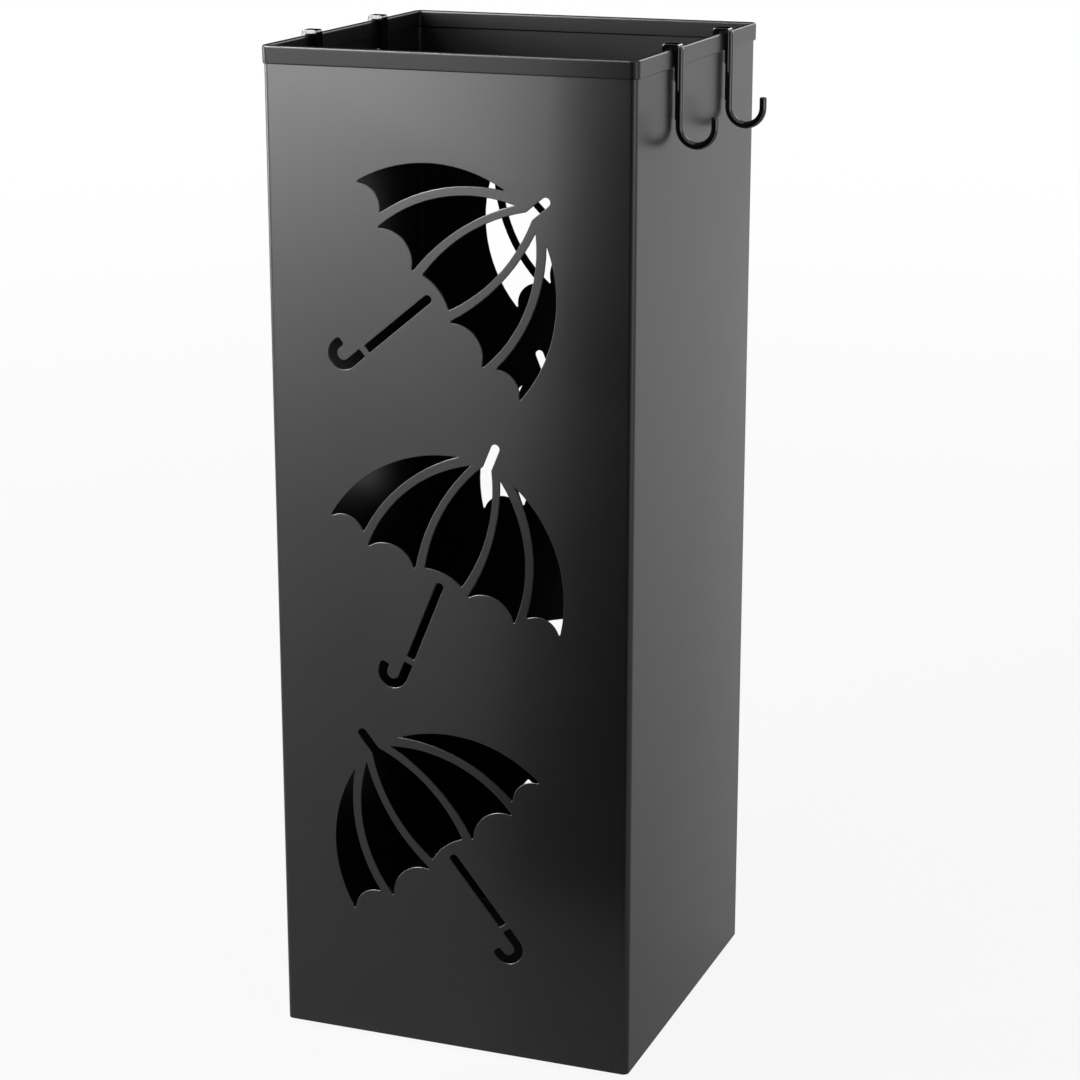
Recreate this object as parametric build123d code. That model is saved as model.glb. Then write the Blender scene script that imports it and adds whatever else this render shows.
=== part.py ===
from build123d import *
import os

# Square umbrella stand of folded sheet steel with clip-on hooks.
# Millimetres. Origin on the floor under the middle, X to the right, Y to the rear, Z up.

# Folded body
stand_width = 180.0
stand_height = 485.0
wall_sheet = 0.8
bend_radius = 3.0
lap_width = 14.0
weld_gap = 0.1
lap_trim_gap = 1.0

# Rim cap, a U strip over the top edge of the walls
rim_sheet = 0.8
rim_depth = 8.5
rim_roll_share = 0.45
rim_lip_share = 0.85
rim_seat_gap = 0.1

# Floor pan and foot pads
pan_sheet = 0.8
pan_flange = 15.0
pan_bend_radius = 1.8
pan_corner_gap = 1.0
foot_diameter = 18.0
foot_height = 2.0
foot_inset = 24.0
foot_edge = 0.4

# Drip tray
tray_height = 26.0
tray_wall = 1.6
tray_draft = 4.0
tray_lip = 3.5
tray_corner_radius = 14.0
tray_edge_radius = 2.5
tray_clearance = 1.0

# Umbrella cut-outs, drawn in shares of the canopy radius with the tip upwards
canopy_radius = 62.5
ferrule_length = 12.5
ferrule_width = 4.3
shaft_length = 41.6
shaft_width = 4.0
shaft_bridge = 3.2
handle_width = 4.4
handle_straight = 7.8
handle_radius = 5.4
handle_tip_rise = 3.0
handle_tip_round = 1.4
cutout_round = 0.5
umbrella_gap = 0.7
umbrella_margin = 20.0
umbrella_drop = 0.9
rear_umbrella_lift = 4.5
umbrella_places = [(-0.2, 39.0), (-4.5, -22.3), (-8.2, -50.3)]

# Clip hooks
hook_rod = 3.4
hook_strip = 2.0
hook_clip_width = 6.5
hook_bridge = 2.1
hook_seat_gap = 0.1
hook_outer_gap = 0.25
hook_inner_gap = 1.1
hook_catch_gap = 5.9
hook_barb_height = 4.5
hook_barb_gap = 0.2
hook_barb_lip = 0.7
hook_barb_undercut = 0.5
hook_barb_toe = 1.2
hook_plate_length = 21.0
hook_plate_bevel = 5.0
hook_drop = 37.0
hook_turn_radius = 8.45
hook_tip_rise = 5.0
hook_tip_round = 0.7
hook_corner_radius = 1.3
hook_edge_radius = 0.35
hook_rod_below_top = 1.3
hook_rod_chamfer = 1.0
hook_slot_radius = 0.8
hook_rib_width = 3.1
hook_rib_above_turn = 1.6
hook_mark_diameter = 2.1
hook_pin_diameter = 1.3
hook_recess_height = 0.9
hook_mark_depth = 0.25
hook_spacing = 76.0

# Levels and faces that several pieces share
half_width = stand_width / 2
wall_inside = half_width - wall_sheet
wall_top = stand_height - rim_sheet - rim_seat_gap
rim_outside = half_width + weld_gap + rim_sheet
rim_inside = wall_inside - weld_gap - rim_sheet
rim_lower_edge = stand_height - rim_depth
rim_edge_radius = rim_roll_share * (rim_outside - rim_inside)
pan_outside = wall_inside - weld_gap
pan_floor_top = foot_height + pan_sheet
leg_outside = rim_inside - hook_inner_gap
leg_inside = leg_outside - hook_strip
plate_inside = rim_outside + hook_outer_gap


def sheet_profile(points, outer_radius, thickness):
    """Section of a folded sheet whose middle follows the points."""
    return trace(FilletPolyline(*points, radius=outer_radius - thickness / 2), thickness)


def block(low, high):
    """Box between two corners."""
    size = [high[i] - low[i] for i in range(3)]
    return Pos(*low) * Box(*size, align=(Align.MIN, Align.MIN, Align.MIN))


def gore(tip, outer_cusp, inner_cusp, outer_bulge, scallop_bulge, inner_bulge):
    """One panel of the canopy, bounded by three arcs."""
    tip, outer_cusp, inner_cusp = [Vector(*p) * canopy_radius for p in (tip, outer_cusp, inner_cusp)]
    outer_edge = SagittaArc(tip, outer_cusp, outer_bulge * canopy_radius)
    scallop = SagittaArc(outer_cusp, inner_cusp, -scallop_bulge * canopy_radius)
    inner_edge = SagittaArc(inner_cusp, tip, -inner_bulge * canopy_radius)
    panel = make_face([outer_edge, scallop, inner_edge])
    return fillet(panel.vertices().sort_by(Axis.Y)[:2], cutout_round)


def umbrella():
    """Cut-out of one umbrella, with the middle of its canopy circle at the origin."""
    outer_gore = gore((0.248, 0.969), (0.998, 0.064), (0.709, 0.075), 0.167, 0.075, 0.1)
    inner_gore = gore((0.128, 0.958), (0.64, -0.016), (0.224, -0.013), 0.141, 0.118, 0.076)
    crown = Vector(ferrule_width / 2, canopy_radius)
    cusp = Vector(0.16, 0.056) * canopy_radius
    right_edge = SagittaArc(crown, cusp, 0.088 * canopy_radius)
    left_edge = mirror(right_edge, Plane.YZ)
    scallop = SagittaArc(cusp, Vector(-cusp.X, cusp.Y), -0.032 * canopy_radius)
    middle_gore = make_face([right_edge, scallop, left_edge, Line(left_edge @ 0, right_edge @ 0)])
    middle_gore = fillet(middle_gore.vertices().sort_by(Axis.Y)[:2], cutout_round)

    ferrule_reach = ferrule_length - ferrule_width / 2
    ferrule = Pos(0, canopy_radius + ferrule_reach / 2) * Rectangle(ferrule_width, ferrule_reach)
    ferrule += Pos(0, canopy_radius + ferrule_reach) * Circle(ferrule_width / 2)

    shaft_reach = shaft_length - shaft_width / 2
    shaft = Pos(0, -shaft_width / 2 - shaft_reach / 2) * Rectangle(shaft_width, shaft_reach)
    shaft += Pos(0, -shaft_width / 2) * Circle(shaft_width / 2)
    shaft = fillet(shaft.vertices().sort_by(Axis.Y)[:2], cutout_round)

    handle_top = -shaft_length - shaft_bridge
    turn = Vector(-handle_radius, handle_top - handle_straight)
    down = Line((0, handle_top), (0, turn.Y))
    bend = CenterArc(turn, handle_radius, 0, -180)
    rise = Line(bend @ 1, (bend @ 1) + Vector(0, handle_tip_rise))
    handle = trace(down + bend + rise, handle_width)
    handle = fillet(handle.vertices().sort_by(Axis.Y)[-2:], cutout_round)
    tip_side = handle.vertices().filter_by(lambda v: v.X < -handle_radius)
    handle = fillet(tip_side.sort_by(Axis.Y)[-2:], handle_tip_round)

    gores = [outer_gore, inner_gore, mirror(outer_gore, Plane.YZ), mirror(inner_gore, Plane.YZ)]
    return Sketch() + gores + (middle_gore + ferrule) + shaft + handle


def wall_cutters():
    """Cutters for the umbrellas of the front wall and, turned round and lifted, of the rear wall."""
    motif = umbrella()
    handle_length = shaft_bridge + handle_straight + handle_radius + handle_width / 2
    pitch = ferrule_length + canopy_radius + shaft_length + handle_length + umbrella_gap
    middle = (foot_height + rim_lower_edge) / 2 - umbrella_drop
    room = rim_lower_edge - foot_height - 2 * (umbrella_margin + canopy_radius)
    count = min(len(umbrella_places), 1 + int(room // pitch))
    front = Plane((0, -half_width, 0), x_dir=(1, 0, 0), z_dir=(0, -1, 0))
    cutters = []
    for step in range(count):
        shift, tilt = umbrella_places[step]
        height = middle + (step - (count - 1) / 2) * pitch
        placed = front * Pos(shift, height) * Rot(0, 0, tilt) * motif
        cutters.append(extrude(placed, 2 * wall_sheet, both=True))
    to_rear = Pos(0, 0, rear_umbrella_lift) * Rot(0, 0, 180)
    return cutters + [to_rear * cutter for cutter in cutters]


def wrapped_body():
    """One sheet folded round the four walls, its end lapped inside the rear wall at the right corner."""
    lap_face = wall_inside - weld_gap
    seam = half_width - bend_radius
    wall_middle = half_width - wall_sheet / 2
    lap_middle = lap_face - wall_sheet / 2
    points = [
        (seam, wall_middle),
        (-wall_middle, wall_middle),
        (-wall_middle, -wall_middle),
        (wall_middle, -wall_middle),
        (wall_middle, lap_middle),
        (seam - lap_width, lap_middle),
    ]
    section = sheet_profile(points, bend_radius, wall_sheet)
    body = Pos(0, 0, foot_height) * extrude(section, wall_top - foot_height)
    # The lap stops short of the pan, and the lap and its bend end just under the rim cap.
    lap_end = seam - lap_width - lap_trim_gap
    lap_inside = lap_face - wall_sheet - weld_gap
    lap_low = foot_height + pan_flange + lap_trim_gap
    lap_high = rim_lower_edge - weld_gap
    between = wall_inside - weld_gap / 2
    body -= block((lap_end, lap_inside, 0), (seam, between, lap_low))
    body -= block((lap_end, lap_face - bend_radius, lap_high), (half_width + 1, between, stand_height))
    return body - wall_cutters()


def rim_cap():
    """U strip round the top edge, open below."""
    across = 2 * rim_outside
    radius = bend_radius + weld_gap + rim_sheet
    opening_radius = max(bend_radius - wall_sheet - weld_gap - rim_sheet, rim_edge_radius)
    ring = RectangleRounded(across, across, radius)
    ring -= RectangleRounded(2 * rim_inside, 2 * rim_inside, opening_radius)
    cap = Pos(0, 0, rim_lower_edge) * extrude(ring, rim_depth)
    cap = fillet(cap.edges().group_by(Axis.Z)[-1], rim_edge_radius)
    cap = fillet(cap.edges().group_by(Axis.Z)[0], rim_lip_share * rim_sheet)
    groove_outside = 2 * (half_width + weld_gap)
    groove_inside = 2 * (wall_inside - weld_gap)
    groove = RectangleRounded(groove_outside, groove_outside, bend_radius + weld_gap)
    groove -= RectangleRounded(groove_inside, groove_inside, bend_radius - wall_sheet - weld_gap)
    return cap - Pos(0, 0, rim_lower_edge) * extrude(groove, rim_depth - rim_sheet)


def base_pan():
    """Floor with four upturned flanges and open corners."""
    top = foot_height + pan_flange
    level = foot_height + pan_sheet / 2
    side = pan_outside - pan_sheet / 2
    points = [(-side, top), (-side, level), (side, level), (side, top)]
    section = Plane.XZ * sheet_profile(points, pan_bend_radius, pan_sheet)
    reach = wall_inside - bend_radius - weld_gap - wall_sheet - pan_corner_gap
    channel = extrude(section, reach, both=True)
    return channel + Rot(0, 0, 90) * channel


def foot(side, end):
    """Rubber pad under one corner of the pan."""
    place = half_width - foot_inset
    pad = Pos(side * place, end * place) * extrude(Circle(foot_diameter / 2), foot_height)
    return chamfer(pad.edges().group_by(Axis.Z)[0], foot_edge)


def drip_tray():
    """Moulded tray with drafted walls and a flat lip, loose on the pan."""
    lip_across = 2 * (leg_inside - tray_clearance)
    wall_across = lip_across - 2 * tray_lip
    wall_radius = tray_corner_radius - tray_lip
    mouth = Pos(0, 0, pan_floor_top + tray_height) * RectangleRounded(wall_across, wall_across, wall_radius)
    tray = extrude(mouth, tray_height, dir=(0, 0, -1), taper=tray_draft)
    tray = fillet(tray.edges().group_by(Axis.Z)[0], tray_edge_radius)
    lip = RectangleRounded(lip_across, lip_across, tray_corner_radius)
    tray += Pos(0, 0, pan_floor_top + tray_height - tray_wall) * extrude(lip, tray_wall)
    inner_across = wall_across - 2 * tray_wall
    inner_mouth = Pos(0, 0, pan_floor_top + tray_height)
    inner_mouth *= RectangleRounded(inner_across, inner_across, wall_radius - tray_wall)
    hollow = extrude(inner_mouth, tray_height - tray_wall, dir=(0, 0, -1), taper=tray_draft)
    hollow = fillet(hollow.edges().group_by(Axis.Z)[0], tray_edge_radius - tray_wall / 2)
    return tray - hollow


def clip_hook():
    """Hook on the rim of the right wall: a sprung clip with a barb, and a round rod bent to a J."""
    seat = stand_height + hook_seat_gap
    top = seat + hook_bridge
    plate_outside = plate_inside + hook_strip
    plate_end = top - hook_plate_length
    catch = rim_lower_edge - hook_catch_gap
    barb_end = catch - hook_barb_height
    barb_tip = wall_inside - hook_barb_gap
    outline = Polyline(
        (plate_outside, plate_end),
        (plate_outside, top),
        (leg_inside, top),
        (leg_inside, barb_end + hook_barb_toe),
        (leg_inside + hook_barb_toe, barb_end),
        (barb_tip, catch - hook_barb_lip),
        (barb_tip, catch),
        (leg_outside, catch - hook_barb_undercut),
        (leg_outside, seat),
        (plate_inside, seat),
        (plate_inside, plate_end + hook_plate_bevel),
        close=True,
    )
    profile = make_face(outline.edges())
    profile = fillet(profile.vertices().group_by(Axis.Y)[-1], hook_corner_radius)
    slot_corners = profile.vertices().filter_by(lambda v: abs(v.Y - seat) < 1e-6)
    profile = fillet(slot_corners, hook_slot_radius)
    clip = extrude(Plane.XZ * profile, hook_clip_width / 2, both=True)
    side_edges = clip.edges().filter_by(lambda e: abs(abs(e.center().Y) - hook_clip_width / 2) < 1e-6)
    clip = fillet(side_edges, hook_edge_radius)

    rod_axis = plate_inside + hook_rod / 2
    turn = top - hook_drop
    upper = Line((rod_axis, 0, top - hook_rod_below_top), (rod_axis, 0, turn))
    bend_plane = Plane((rod_axis + hook_turn_radius, 0, turn), x_dir=(1, 0, 0), z_dir=(0, -1, 0))
    bend = bend_plane * CenterArc((0, 0), hook_turn_radius, 180, 180)
    rise = Line(bend @ 1, (bend @ 1) + Vector(0, 0, hook_tip_rise))
    section = Plane(upper @ 0, z_dir=upper % 0) * Circle(hook_rod / 2)
    rod = sweep(section, Wire([upper, bend, rise]))
    ends = rod.edges().filter_by(GeomType.CIRCLE).filter_by(lambda e: abs(e.radius - hook_rod / 2) < 1e-6)
    tip_edge = ends.filter_by(lambda e: e.length > hook_rod).sort_by(Axis.X)[-1]
    rod = fillet(tip_edge, hook_tip_round)
    head_edge = rod.edges().filter_by(GeomType.CIRCLE).sort_by(Axis.Z)[-1]
    rod = chamfer(head_edge, hook_rod_chamfer)

    rib_end = turn + hook_rib_above_turn
    rib_outline = Polyline(
        (plate_inside, plate_end + hook_plate_bevel),
        (plate_inside, rib_end + hook_rod / 2),
        (rod_axis, rib_end),
        (rod_axis, plate_end + hook_plate_bevel),
        close=True,
    )
    rib = extrude(Plane.XZ * make_face(rib_outline.edges()), hook_rib_width / 2, both=True)

    # Marks of the ejector pins and a shallow panel, all on the rear side.
    rod_side = Plane((0, hook_rod / 2 - hook_mark_depth, 0), x_dir=(1, 0, 0), z_dir=(0, 1, 0))
    clip_side = Plane((0, hook_clip_width / 2 - hook_mark_depth, 0), x_dir=(1, 0, 0), z_dir=(0, 1, 0))
    bridge_middle = top - hook_bridge / 2
    pins = [
        (plate_outside - hook_strip / 2, bridge_middle),
        (leg_inside + hook_strip / 2, bridge_middle),
        (leg_inside + hook_strip, catch - hook_barb_height / 2),
    ]
    marks = [clip_side * Pos(x, -z) * Circle(hook_pin_diameter / 2) for x, z in pins]
    panel_middle = (leg_outside + plate_inside) / 2
    panel = Rectangle(plate_inside - leg_outside, hook_recess_height)
    marks.append(clip_side * Pos(panel_middle, -bridge_middle) * panel)
    marks.append(rod_side * Pos(rod_axis, -turn) * Circle(hook_mark_diameter / 2))
    return clip + rod + rib - [extrude(mark, hook_rod) for mark in marks]


nodes = {
    "wrapped_body": wrapped_body(),
    "rim_cap": rim_cap(),
    "base_pan": base_pan(),
    "drip_tray": drip_tray(),
}
for side_name, side in (("left", -1), ("right", 1)):
    for end_name, end in (("front", -1), ("rear", 1)):
        nodes[f"foot_{end_name}_{side_name}"] = foot(side, end)

hook = clip_hook()
nodes["hook_right_front"] = Pos(0, -hook_spacing / 2, 0) * hook
nodes["hook_right_rear"] = Pos(0, hook_spacing / 2, 0) * hook
nodes["hook_left_rear"] = Rot(0, 0, 180) * nodes["hook_right_front"]
nodes["hook_left_front"] = Rot(0, 0, 180) * nodes["hook_right_rear"]

os.makedirs("parts", exist_ok=True)
for name, shape in nodes.items():
    export_step(shape, f"parts/{name}.step")
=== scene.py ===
import math

import bpy
from bpy.props import FloatProperty, FloatVectorProperty, PointerProperty
from bpy.types import Operator, Panel, PropertyGroup
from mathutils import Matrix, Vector


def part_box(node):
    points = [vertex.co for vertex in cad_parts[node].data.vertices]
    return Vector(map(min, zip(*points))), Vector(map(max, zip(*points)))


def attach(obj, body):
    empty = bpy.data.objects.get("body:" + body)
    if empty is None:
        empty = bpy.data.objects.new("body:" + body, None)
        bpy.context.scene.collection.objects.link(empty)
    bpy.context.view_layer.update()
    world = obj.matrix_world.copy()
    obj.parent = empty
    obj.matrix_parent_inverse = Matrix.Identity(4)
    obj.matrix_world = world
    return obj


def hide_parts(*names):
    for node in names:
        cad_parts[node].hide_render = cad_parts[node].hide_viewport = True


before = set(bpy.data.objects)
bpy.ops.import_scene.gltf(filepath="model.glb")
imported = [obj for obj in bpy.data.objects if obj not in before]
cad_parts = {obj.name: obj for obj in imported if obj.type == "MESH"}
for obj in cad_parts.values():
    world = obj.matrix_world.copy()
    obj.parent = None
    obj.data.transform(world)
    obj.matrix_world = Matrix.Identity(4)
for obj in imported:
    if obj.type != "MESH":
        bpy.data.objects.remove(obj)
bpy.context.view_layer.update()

bl_info = {
    "name": "Umbrella stand",
    "version": (1, 0, 0),
    "blender": (4, 5, 0),
    "location": "View3D > Sidebar > Umbrella Stand",
    "description": "Dresses a folded sheet umbrella stand and sets it on a white stage",
    "category": "Object",
}

# Edges that turn more sharply than this are rounded by the coat, in so many strips.
SHARP_ANGLE = math.radians(35)
ROUNDING_STRIPS = 3
# Faces that meet within this angle are one flat face.
FLAT_ANGLE = math.radians(0.2)
# How far large flat faces set the shading of their edges: 50 is even, 100 is wholly.
FLAT_WEIGHT = 100
# Corners closer than this belong to one point of the sheet.
MERGE_DISTANCE = 1e-6
# Outside radius of the folds of the walls.
BEND_RADIUS = 0.003

# Fine ripples across one ripple of a skin, and their height beside it.
FINE_RIPPLES = 5.0
FINE_HEIGHT = 0.25
# How far the clouds of a skin lighten and darken its colour.
CLOUD_SHADE = 0.3
# How far the clouds change the gloss, and their width, where a finish has no values of its own.
GLOSS_SPREAD = 0.05
CLOUD_SIZE = 0.06
# Octaves of noise in the ripples, the fine ripples and the clouds.
RIPPLE_DETAIL = 2.0
FINE_DETAIL = 1.0
CLOUD_DETAIL = 3.0
# Middle of a noise that runs from 0 to 1.
NOISE_MIDDLE = 0.5

# Corners of the walls, and the point between them that the lamps face.
STAND_LOW, STAND_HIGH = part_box("wrapped_body")
STAND_MIDDLE = (STAND_LOW + STAND_HIGH) / 2
# Floor point under the middle of the stand.
FLOOR_MIDDLE = (0.0, 0.0, 0.0)
UPRIGHT = math.pi / 2
WHITE = (1.0, 1.0, 1.0, 1.0)
BLACK = (0.0, 0.0, 0.0, 1.0)

# Nodes of the like pieces.
FEET = [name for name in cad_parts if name.startswith("foot_")]
HOOKS = [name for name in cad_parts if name.startswith("hook_")]


def length_property(name, description, default):
    """Setting for a length in metres."""
    return FloatProperty(
        name=name, description=description, default=default, min=0.0, unit="LENGTH", precision=6
    )


def share_property(name, description, default):
    """Setting between nothing and all."""
    return FloatProperty(
        name=name, description=description, default=default, min=0.0, max=1.0, subtype="FACTOR"
    )


def angle_property(name, description, degrees):
    """Setting for an angle, given in degrees."""
    return FloatProperty(
        name=name, description=description, default=math.radians(degrees), subtype="ANGLE"
    )


def power_property(name, description, default):
    """Setting for the power of a lamp in watts."""
    return FloatProperty(name=name, description=description, default=default, min=0.0, unit="POWER")


def colour_property(name, description, default):
    """Setting for a plain colour."""
    return FloatVectorProperty(
        name=name, description=description, default=default, size=3, min=0.0, max=1.0, subtype="COLOR"
    )


def place_property(name, description, default):
    """Setting for a point in the stand's own frame."""
    return FloatVectorProperty(
        name=name, description=description, default=default, size=3, subtype="XYZ", unit="LENGTH"
    )


class CoatSettings(PropertyGroup):
    colour: colour_property("Colour", "Colour of the powder coat", (0.006, 0.006, 0.0061))
    roughness: share_property("Roughness", "How soft the sheen of the coat is", 0.29)
    sheen_level: share_property("Sheen level", "How strongly the coat mirrors what faces it", 0.4)
    peel_size: length_property("Peel size", "Width of one ripple of the coat", 0.0026)
    peel_depth: length_property("Peel depth", "Height of one ripple of the coat", 0.000004)
    edge_radius: length_property("Edge radius", "Rounding of the cut edges under the coat", 0.00035)
    rim_roughness: share_property("Rim roughness", "How soft the sheen of the rim strip is", 0.29)
    rim_sheen_level: share_property("Rim sheen level", "How strongly the rim mirrors what faces it", 0.3)
    rim_edge_radius: length_property("Rim edge radius", "Rounding of the strip's lower edges", 0.0003)
    rim_grip: length_property("Rim grip", "How far the outer lip leans in to the wall", 0.00055)
    rim_flare: length_property("Rim flare", "How far the outer leg leans out at its top", 0.00008)


class PlasticSettings(PropertyGroup):
    hook_colour: colour_property("Hook colour", "Colour of the moulded hooks", (0.003, 0.003, 0.003))
    hook_roughness: share_property("Hook roughness", "How soft the shine of the hooks is", 0.08)
    hook_sheen_level: share_property("Hook sheen level", "How strongly the hooks mirror", 0.6)
    hook_ripple_size: length_property("Hook ripple size", "Width of one ripple of the hooks", 0.004)
    hook_ripple_depth: length_property("Hook ripple depth", "Height of one of those", 0.000006)
    hook_gloss_spread: share_property("Hook gloss spread", "How far clouds change their gloss", 0.04)
    hook_cloud_size: length_property("Hook cloud size", "Width of those clouds", 0.012)
    tray_colour: colour_property("Tray colour", "Colour of the drip tray", (0.016, 0.016, 0.017))
    tray_roughness: share_property("Tray roughness", "How soft the sheen of the tray is", 0.5)
    tray_grain_size: length_property("Tray grain size", "Width of one grain of the tray", 0.0009)
    tray_grain_depth: length_property("Tray grain depth", "Height of one grain of the tray", 0.00001)
    foot_colour: colour_property("Foot colour", "Colour of the rubber pads", (0.02, 0.02, 0.02))
    foot_roughness: share_property("Foot roughness", "How dull the rubber pads are", 0.8)
    foot_grain_size: length_property("Foot grain size", "Width of one grain of the pads", 0.0006)
    foot_grain_depth: length_property("Foot grain depth", "Height of one grain of the pads", 0.00003)


class StageSettings(PropertyGroup):
    floor_colour: colour_property("Floor colour", "Colour of the floor", (0.9, 0.9, 0.9))
    floor_size: length_property("Floor size", "Width of the floor", 60.0)
    floor_white: share_property("Floor white", "How far it is lifted to white for the eye", 0.9)
    white_reach: length_property("White reach", "Distance at which the floor is all white", 3.0)
    mirrored_white: share_property("Mirrored white", "Least lift to white in reflections", 0.0)
    dark_middle: place_property("Dark middle", "Where the floor mirrors darkest", (-0.4, -1.05, 0.0))
    dark_reach: length_property("Dark reach", "Distance from there at which it mirrors white", 3.3)
    room_light: share_property("Room light", "Level of the light from all round", 0.35)
    key_place: place_property("Key place", "Soft lamp at the front left", (-1.21, -2.1, 0.645))
    key_width: length_property("Key width", "Width and height of that lamp", 1.0)
    key_power: power_property("Key power", "Power of that lamp", 45.0)
    high_place: place_property("High place", "High lamp at the front left", (-1.1, -0.78, 1.58))
    high_width: length_property("High width", "Width of that lamp", 1.2)
    high_height: length_property("High height", "Height of that lamp", 0.6)
    high_power: power_property("High power", "Power of that lamp", 135.0)
    left_place: place_property("Left place", "Soft lamp at the left", (-1.6, -0.35, 0.6))
    right_place: place_property("Right place", "Soft lamp at the right", (1.6, -0.6, 0.35))
    side_width: length_property("Side width", "Width of the lamps at the sides", 0.5)
    side_height: length_property("Side height", "Height of the lamps at the sides", 1.0)
    left_power: power_property("Left power", "Power of the lamp at the left", 26.0)
    right_power: power_property("Right power", "Power of the lamp at the right", 5.0)
    rear_place: place_property("Rear place", "Soft lamp behind", (0.35, 1.6, 1.15))
    rear_width: length_property("Rear width", "Width and height of that lamp", 0.6)
    rear_power: power_property("Rear power", "Power of that lamp", 4.0)
    card_place: place_property("Card place", "Black card in front", (0.08, -0.26, 0.28))
    card_width: length_property("Card width", "Width of that card", 0.22)
    card_height: length_property("Card height", "Height of that card", 0.56)
    card_lean: angle_property("Card lean", "Lean of that card's top to the right", 5.5)
    flag_place: place_property("Flag place", "Black flag behind", (-0.55, 0.9, 1.325))
    flag_width: length_property("Flag width", "Width of that flag", 1.3)
    flag_height: length_property("Flag height", "Height of that flag", 1.75)
    camera_place: place_property("Camera place", "Where the camera stands", (0.4851, -1.2476, 0.6206))
    camera_yaw: angle_property("Camera yaw", "Turn of the camera to the left", 20.804)
    camera_pitch: angle_property("Camera pitch", "Tilt of the camera downwards", 16.028)
    camera_lens: FloatProperty(
        name="Camera lens", description="Focal length in millimetres", default=93.52, unit="CAMERA"
    )


def deselect():
    """Leave nothing selected, so that an operator acts on one piece only."""
    bpy.ops.object.select_all(action="DESELECT")


def select(piece):
    """Make one piece the only selected and active one."""
    deselect()
    piece.select_set(True)
    bpy.context.view_layer.objects.active = piece


def sheet_copy(node, name):
    """Copy of a sheet node, with its loose triangles merged, that stands for the node."""
    piece = bpy.data.objects.new(name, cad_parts[node].data.copy())
    bpy.context.collection.objects.link(piece)
    select(piece)
    bpy.ops.mesh.customdata_custom_splitnormals_clear()
    bpy.ops.object.mode_set(mode="EDIT")
    bpy.ops.mesh.select_all(action="SELECT")
    bpy.ops.mesh.remove_doubles(threshold=MERGE_DISTANCE)
    bpy.ops.mesh.mark_sharp(clear=True)
    bpy.ops.object.mode_set(mode="OBJECT")
    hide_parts(node)
    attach(piece, "stand")
    return piece


def lean_outer_leg(piece, grip, flare):
    """Lean the rim strip's outer leg at the front and rear, with its lip drawn in to the wall."""
    low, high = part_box("rim_cap")
    wall_face = STAND_HIGH.y
    # The folds turn round the corners of a square core, and outward is the way out of it.
    core = wall_face - BEND_RADIUS
    for vertex in piece.data.vertices:
        outward = Vector([math.copysign(max(abs(side) - core, 0.0), side) for side in vertex.co.xy])
        share = (core + outward.length - wall_face) / (high.y - wall_face)
        rise = (vertex.co.z - low.z) / (high.z - low.z)
        if share > 0.0:
            vertex.co.y += outward.normalized().y * share * (rise * (flare + grip) - grip)


def round_edges(piece, radius):
    """Round the cut edges of a sheet, as the coat leaves them."""
    select(piece)
    bpy.ops.object.mode_set(mode="EDIT")
    bpy.ops.mesh.select_all(action="SELECT")
    bpy.ops.mesh.dissolve_limited(angle_limit=FLAT_ANGLE)
    bpy.ops.object.mode_set(mode="OBJECT")
    bpy.ops.object.shade_smooth()
    rounding = piece.modifiers.new("rounded edges", "BEVEL")
    rounding.width = radius
    rounding.segments = ROUNDING_STRIPS
    rounding.limit_method = "ANGLE"
    rounding.angle_limit = SHARP_ANGLE
    rounding.use_clamp_overlap = False
    rounding.loop_slide = False
    rounding.harden_normals = True
    bpy.ops.object.modifier_apply(modifier=rounding.name)


def shade_flat_faces(piece):
    """Let the large flat faces of a piece set the shading at their edges."""
    select(piece)
    flats = piece.modifiers.new("flat faces", "WEIGHTED_NORMAL")
    flats.weight = FLAT_WEIGHT
    bpy.ops.object.modifier_apply(modifier=flats.name)


def new_material(name):
    """Node material with its tree and its Principled shader."""
    material = bpy.data.materials.new(name)
    material.use_nodes = True
    tree = material.node_tree
    return material, tree, tree.nodes["Principled BSDF"]


def new_group(name, inputs, outputs):
    """Shader node group with a place and numbers for inputs, and numbers for outputs."""
    group = bpy.data.node_groups.new(name, "ShaderNodeTree")
    group.interface.new_socket("Place", in_out="INPUT", socket_type="NodeSocketVector")
    for socket in inputs:
        group.interface.new_socket(socket, in_out="INPUT", socket_type="NodeSocketFloat")
    for socket in outputs:
        group.interface.new_socket(socket, in_out="OUTPUT", socket_type="NodeSocketFloat")
    return group, group.nodes.new("NodeGroupInput"), group.nodes.new("NodeGroupOutput")


def math_node(tree, operation, first, second):
    """Arithmetic on two sockets or numbers."""
    node = tree.nodes.new("ShaderNodeMath")
    node.operation = operation
    for socket, value in zip(node.inputs, (first, second)):
        if isinstance(value, (int, float)):
            socket.default_value = value
        else:
            tree.links.new(value, socket)
    return node.outputs["Value"]


def noise_node(tree, place, scale, detail):
    """Noise of so many ripples in a metre, from 0 to 1."""
    noise = tree.nodes.new("ShaderNodeTexNoise")
    noise.inputs["Detail"].default_value = detail
    tree.links.new(place, noise.inputs["Vector"])
    tree.links.new(scale, noise.inputs["Scale"])
    return noise.outputs["Fac"]


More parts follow.
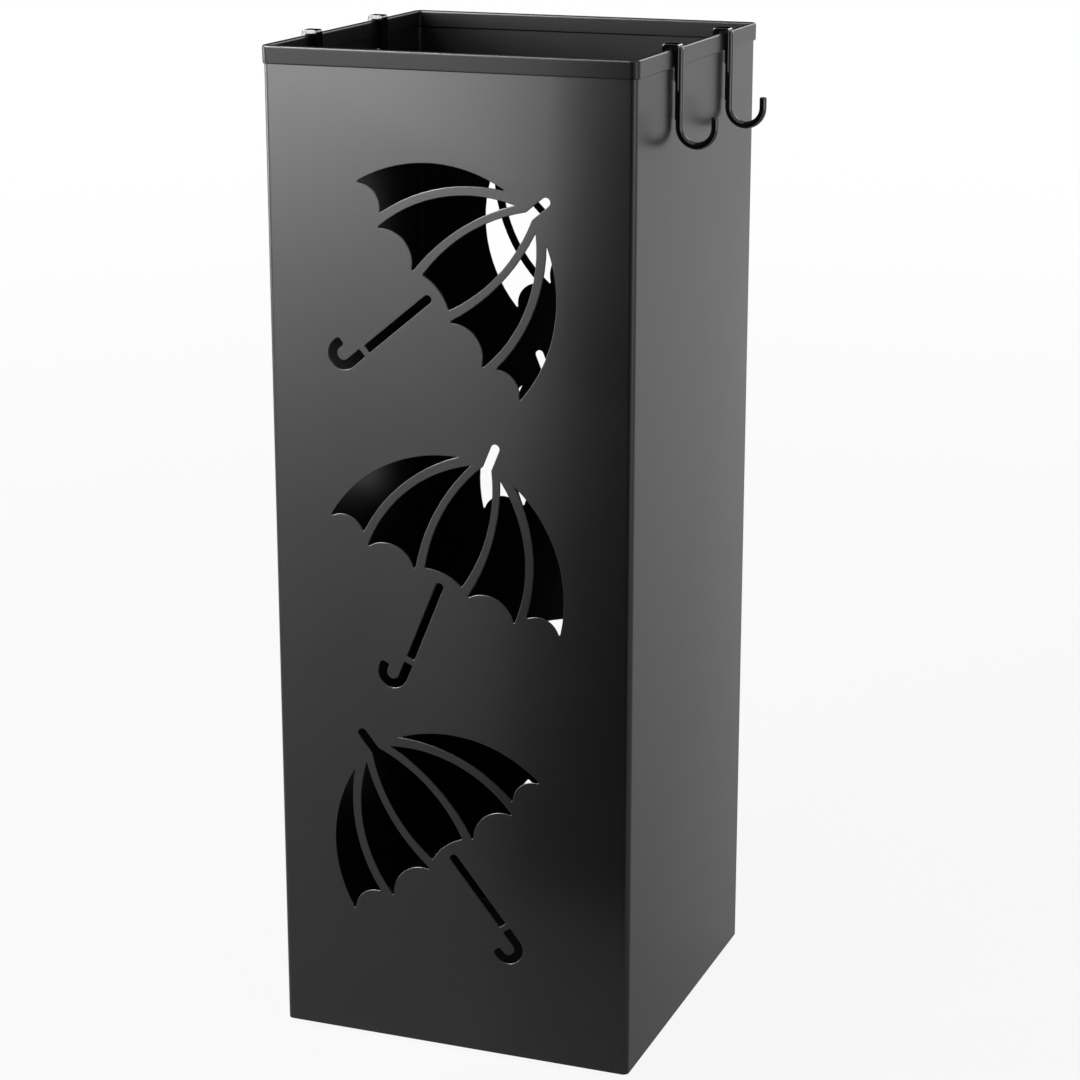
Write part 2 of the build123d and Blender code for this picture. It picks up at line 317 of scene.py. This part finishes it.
def surface_group():
    """Ripple of a sprayed or moulded skin, with slow clouds in its gloss and colour."""
    name = "skin ripple"
    if name in bpy.data.node_groups:
        return bpy.data.node_groups[name]
    inputs = ["Ripple Size", "Roughness", "Roughness Spread", "Cloud Size"]
    group, given, made = new_group(name, inputs, ["Height", "Roughness", "Shade"])
    place = given.outputs["Place"]
    ripple_scale = math_node(group, "DIVIDE", 1.0, given.outputs["Ripple Size"])
    ripple = noise_node(group, place, ripple_scale, RIPPLE_DETAIL)
    fine_scale = math_node(group, "MULTIPLY", ripple_scale, FINE_RIPPLES)
    fine = noise_node(group, place, fine_scale, FINE_DETAIL)
    height = math_node(group, "ADD", ripple, math_node(group, "MULTIPLY", fine, FINE_HEIGHT))
    cloud_scale = math_node(group, "DIVIDE", 1.0, given.outputs["Cloud Size"])
    cloud_noise = noise_node(group, place, cloud_scale, CLOUD_DETAIL)
    cloud = math_node(group, "SUBTRACT", cloud_noise, NOISE_MIDDLE)
    spread = math_node(group, "MULTIPLY", cloud, given.outputs["Roughness Spread"])
    roughness = math_node(group, "ADD", given.outputs["Roughness"], spread)
    shade = math_node(group, "ADD", math_node(group, "MULTIPLY", cloud, CLOUD_SHADE), 1.0)
    group.links.new(height, made.inputs["Height"])
    group.links.new(roughness, made.inputs["Roughness"])
    group.links.new(shade, made.inputs["Shade"])
    return group


def skin_material(
    name, colour, roughness, ripple_size, ripple_depth, spread=GLOSS_SPREAD, cloud_size=CLOUD_SIZE
):
    """Finish of one piece: plain colour, clouded gloss and a fine ripple."""
    material, tree, shader = new_material(name)
    coordinates = tree.nodes.new("ShaderNodeTexCoord")
    skin = tree.nodes.new("ShaderNodeGroup")
    skin.node_tree = surface_group()
    tree.links.new(coordinates.outputs["Object"], skin.inputs["Place"])
    skin.inputs["Ripple Size"].default_value = ripple_size
    skin.inputs["Roughness"].default_value = roughness
    skin.inputs["Roughness Spread"].default_value = spread
    skin.inputs["Cloud Size"].default_value = cloud_size
    shade = tree.nodes.new("ShaderNodeVectorMath")
    shade.operation = "SCALE"
    shade.inputs[0].default_value = colour
    tree.links.new(skin.outputs["Shade"], shade.inputs["Scale"])
    tree.links.new(shade.outputs["Vector"], shader.inputs["Base Color"])
    tree.links.new(skin.outputs["Roughness"], shader.inputs["Roughness"])
    bump = tree.nodes.new("ShaderNodeBump")
    bump.inputs["Distance"].default_value = ripple_depth
    tree.links.new(skin.outputs["Height"], bump.inputs["Height"])
    tree.links.new(bump.outputs["Normal"], shader.inputs["Normal"])
    return material


def mirror_level(material, level):
    """Set how strongly a finish mirrors what faces it."""
    shader = material.node_tree.nodes["Principled BSDF"]
    shader.inputs["Specular IOR Level"].default_value = level


def coat_material(coat, name, roughness, level):
    """Powder coat of a sheet, at its own softness and level of sheen."""
    material = skin_material(name, coat.colour, roughness, coat.peel_size, coat.peel_depth)
    mirror_level(material, level)
    return material


def dress(piece, material):
    """Give a piece one finish all over."""
    piece.data.materials.clear()
    piece.data.materials.append(material)


class UMBRELLASTAND_OT_walls(Operator):
    """Coat the folded walls and the pan, with their cut edges rounded"""

    bl_idname = "umbrellastand.walls"
    bl_label = "Coat the walls and pan"

    def execute(self, context):
        coat = context.scene.umbrella_coat
        finish = coat_material(coat, "satin black coat", coat.roughness, coat.sheen_level)
        for node, name in (("wrapped_body", "coated_walls"), ("base_pan", "coated_pan")):
            piece = sheet_copy(node, name)
            round_edges(piece, coat.edge_radius)
            dress(piece, finish)
        return {"FINISHED"}


class UMBRELLASTAND_OT_rim(Operator):
    """Coat the rim strip, with its outer leg leaning and its lower edges rounded"""

    bl_idname = "umbrellastand.rim"
    bl_label = "Coat the rim"

    def execute(self, context):
        coat = context.scene.umbrella_coat
        finish = coat_material(coat, "rim coat", coat.rim_roughness, coat.rim_sheen_level)
        piece = sheet_copy("rim_cap", "coated_rim")
        lean_outer_leg(piece, coat.rim_grip, coat.rim_flare)
        round_edges(piece, coat.rim_edge_radius)
        shade_flat_faces(piece)
        dress(piece, finish)
        return {"FINISHED"}


class UMBRELLASTAND_OT_tray(Operator):
    """Finish the moulded drip tray"""

    bl_idname = "umbrellastand.tray"
    bl_label = "Finish the drip tray"

    def execute(self, context):
        plastic = context.scene.umbrella_plastic
        finish = skin_material(
            "tray plastic",
            plastic.tray_colour,
            plastic.tray_roughness,
            plastic.tray_grain_size,
            plastic.tray_grain_depth,
        )
        dress(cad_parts["drip_tray"], finish)
        return {"FINISHED"}


class UMBRELLASTAND_OT_feet(Operator):
    """Finish the rubber pads"""

    bl_idname = "umbrellastand.feet"
    bl_label = "Finish the feet"

    def execute(self, context):
        plastic = context.scene.umbrella_plastic
        finish = skin_material(
            "foot rubber",
            plastic.foot_colour,
            plastic.foot_roughness,
            plastic.foot_grain_size,
            plastic.foot_grain_depth,
        )
        for name in FEET:
            dress(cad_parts[name], finish)
        return {"FINISHED"}


class UMBRELLASTAND_OT_hooks(Operator):
    """Finish the clip hooks in shiny moulded plastic"""

    bl_idname = "umbrellastand.hooks"
    bl_label = "Finish the hooks"

    def execute(self, context):
        plastic = context.scene.umbrella_plastic
        finish = skin_material(
            "hook plastic",
            plastic.hook_colour,
            plastic.hook_roughness,
            plastic.hook_ripple_size,
            plastic.hook_ripple_depth,
            plastic.hook_gloss_spread,
            plastic.hook_cloud_size,
        )
        mirror_level(finish, plastic.hook_sheen_level)
        for name in HOOKS:
            dress(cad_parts[name], finish)
        return {"FINISHED"}


def seen_by_eye(tree):
    """Share of light that the eye, a mirror or a glass sees, as against light that falls on things."""
    path = tree.nodes.new("ShaderNodeLightPath")
    eye = math_node(tree, "MAXIMUM", path.outputs["Is Camera Ray"], path.outputs["Is Glossy Ray"])
    return math_node(tree, "MAXIMUM", eye, path.outputs["Is Transmission Ray"])


def white_room(stage):
    """White surroundings for the eye, with a lower level of light on the stand."""
    world = bpy.data.worlds.new("white room")
    world.use_nodes = True
    tree = world.node_tree
    background = tree.nodes["Background"]
    background.inputs["Color"].default_value = WHITE
    lift = math_node(tree, "MULTIPLY", seen_by_eye(tree), 1.0 - stage.room_light)
    tree.links.new(math_node(tree, "ADD", lift, stage.room_light), background.inputs["Strength"])
    bpy.context.scene.world = world


def rising_share(tree, middle, near, reach):
    """Share that rises smoothly over the floor, from near at the middle to 1 at the reach."""
    coordinates = tree.nodes.new("ShaderNodeTexCoord")
    distance = tree.nodes.new("ShaderNodeVectorMath")
    distance.operation = "DISTANCE"
    distance.inputs[1].default_value = middle
    tree.links.new(coordinates.outputs["Object"], distance.inputs[0])
    rise = tree.nodes.new("ShaderNodeMapRange")
    rise.interpolation_type = "SMOOTHSTEP"
    rise.inputs["From Max"].default_value = reach
    rise.inputs["To Min"].default_value = near
    tree.links.new(distance.outputs["Value"], rise.inputs["Value"])
    return rise.outputs["Result"]


def floor_material(stage):
    """Pale floor that the eye sees nearly white, with the shadow of the stand kept."""
    material, tree, shader = new_material("pale floor")
    shader.inputs["Base Color"].default_value = (*stage.floor_colour, 1.0)
    shader.inputs["Roughness"].default_value = 1.0
    shader.inputs["Specular IOR Level"].default_value = 0.0
    path = tree.nodes.new("ShaderNodeLightPath")
    glossy = path.outputs["Is Glossy Ray"]
    mirrored = math_node(tree, "MAXIMUM", glossy, path.outputs["Is Transmission Ray"])
    eye_share = rising_share(tree, FLOOR_MIDDLE, stage.floor_white, stage.white_reach)
    mirror_share = rising_share(tree, stage.dark_middle, stage.mirrored_white, stage.dark_reach)
    eye_white = math_node(tree, "MULTIPLY", path.outputs["Is Camera Ray"], eye_share)
    mirror_white = math_node(tree, "MULTIPLY", mirrored, mirror_share)
    glow = tree.nodes.new("ShaderNodeEmission")
    mix = tree.nodes.new("ShaderNodeMixShader")
    tree.links.new(math_node(tree, "MAXIMUM", eye_white, mirror_white), mix.inputs["Fac"])
    tree.links.new(shader.outputs["BSDF"], mix.inputs[1])
    tree.links.new(glow.outputs["Emission"], mix.inputs[2])
    tree.links.new(mix.outputs["Shader"], tree.nodes["Material Output"].inputs["Surface"])
    return material


def lay_floor(stage):
    """Wide pale floor under the stand."""
    deselect()
    bpy.ops.mesh.primitive_plane_add(size=stage.floor_size, location=FLOOR_MIDDLE)
    floor = bpy.context.object
    floor.name = "floor"
    dress(floor, floor_material(stage))


def black_card(name, place, width, height, lean=0.0):
    """Black card, upright or leaning, that shows only as a dark patch in the sheen of the stand."""
    bpy.ops.mesh.primitive_plane_add(size=1.0, location=place, rotation=(UPRIGHT, lean, 0.0))
    card = bpy.context.object
    card.scale = (width, height, 1.0)
    card.name = name
    material, _, shader = new_material(name)
    shader.inputs["Base Color"].default_value = BLACK
    shader.inputs["Specular IOR Level"].default_value = 0.0
    dress(card, material)
    card.visible_camera = False
    card.visible_diffuse = False
    card.visible_transmission = False


def soft_lamp(name, place, width, height, power):
    """Soft lamp that faces the middle of the stand."""
    bpy.ops.object.light_add(type="AREA", location=place)
    lamp = bpy.context.object
    lamp.name = name
    lamp.data.shape = "RECTANGLE"
    lamp.data.size = width
    lamp.data.size_y = height
    lamp.data.energy = power
    lamp.visible_camera = False
    lamp.rotation_euler = (STAND_MIDDLE - lamp.location).to_track_quat("-Z", "Y").to_euler()
    return lamp


def sheen_lamp(name, place, width, height, power):
    """Soft lamp that only draws highlights on the stand."""
    lamp = soft_lamp(name, place, width, height, power)
    lamp.visible_diffuse = False


def hang_lamps(stage):
    """Two lamps that light the stand, and three that only draw highlights on it."""
    side_size = (stage.side_width, stage.side_height)
    soft_lamp("key lamp", stage.key_place, stage.key_width, stage.key_width, stage.key_power)
    sheen_lamp("high lamp", stage.high_place, stage.high_width, stage.high_height, stage.high_power)
    sheen_lamp("left lamp", stage.left_place, *side_size, stage.left_power)
    soft_lamp("right lamp", stage.right_place, *side_size, stage.right_power)
    sheen_lamp("rear lamp", stage.rear_place, stage.rear_width, stage.rear_width, stage.rear_power)


def set_camera(stage):
    """Camera at the angle from which the stand is shown."""
    turn = (UPRIGHT - stage.camera_pitch, 0.0, stage.camera_yaw)
    bpy.ops.object.camera_add(location=stage.camera_place, rotation=turn)
    camera = bpy.context.object
    camera.data.lens = stage.camera_lens
    bpy.context.scene.camera = camera
    bpy.context.scene.view_settings.view_transform = "Standard"


class UMBRELLASTAND_OT_stage(Operator):
    """Lay the floor, set up the cards, hang the lamps and place the camera"""

    bl_idname = "umbrellastand.stage"
    bl_label = "Set the stage"

    def execute(self, context):
        stage = context.scene.umbrella_stage
        lay_floor(stage)
        white_room(stage)
        black_card("black card", stage.card_place, stage.card_width, stage.card_height, stage.card_lean)
        black_card("black flag", stage.flag_place, stage.flag_width, stage.flag_height)
        hang_lamps(stage)
        set_camera(stage)
        return {"FINISHED"}


class UMBRELLASTAND_PT_panel(Panel):
    """Sidebar panel with the settings and the steps"""

    bl_label = "Umbrella Stand"
    bl_idname = "UMBRELLASTAND_PT_panel"
    bl_space_type = "VIEW_3D"
    bl_region_type = "UI"
    bl_category = "Umbrella Stand"

    def draw(self, context):
        for name in SETTINGS:
            settings = getattr(context.scene, name)
            box = self.layout.box()
            for key in settings.bl_rna.properties.keys():
                if key not in {"rna_type", "name"}:
                    box.prop(settings, key)
        for step in STEPS:
            self.layout.operator(step.bl_idname)


# Settings by the name under which the scene keeps them, and the steps in their order.
SETTINGS = {
    "umbrella_coat": CoatSettings,
    "umbrella_plastic": PlasticSettings,
    "umbrella_stage": StageSettings,
}
STEPS = [
    UMBRELLASTAND_OT_walls,
    UMBRELLASTAND_OT_rim,
    UMBRELLASTAND_OT_tray,
    UMBRELLASTAND_OT_feet,
    UMBRELLASTAND_OT_hooks,
    UMBRELLASTAND_OT_stage,
]


def register():
    """Add the settings, the steps and the panel to Blender."""
    for group in SETTINGS.values():
        bpy.utils.register_class(group)
    for step in STEPS:
        bpy.utils.register_class(step)
    bpy.utils.register_class(UMBRELLASTAND_PT_panel)
    for name, group in SETTINGS.items():
        setattr(bpy.types.Scene, name, PointerProperty(type=group))


def unregister():
    """Take the settings, the panel and the steps away again."""
    for name in SETTINGS:
        delattr(bpy.types.Scene, name)
    bpy.utils.unregister_class(UMBRELLASTAND_PT_panel)
    for step in reversed(STEPS):
        bpy.utils.unregister_class(step)
    for group in reversed(SETTINGS.values()):
        bpy.utils.unregister_class(group)


def main():
    """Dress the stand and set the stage."""
    register()
    bpy.ops.umbrellastand.walls()
    bpy.ops.umbrellastand.rim()
    bpy.ops.umbrellastand.tray()
    bpy.ops.umbrellastand.feet()
    bpy.ops.umbrellastand.hooks()
    bpy.ops.umbrellastand.stage()


if __name__ == "__main__":
    main()
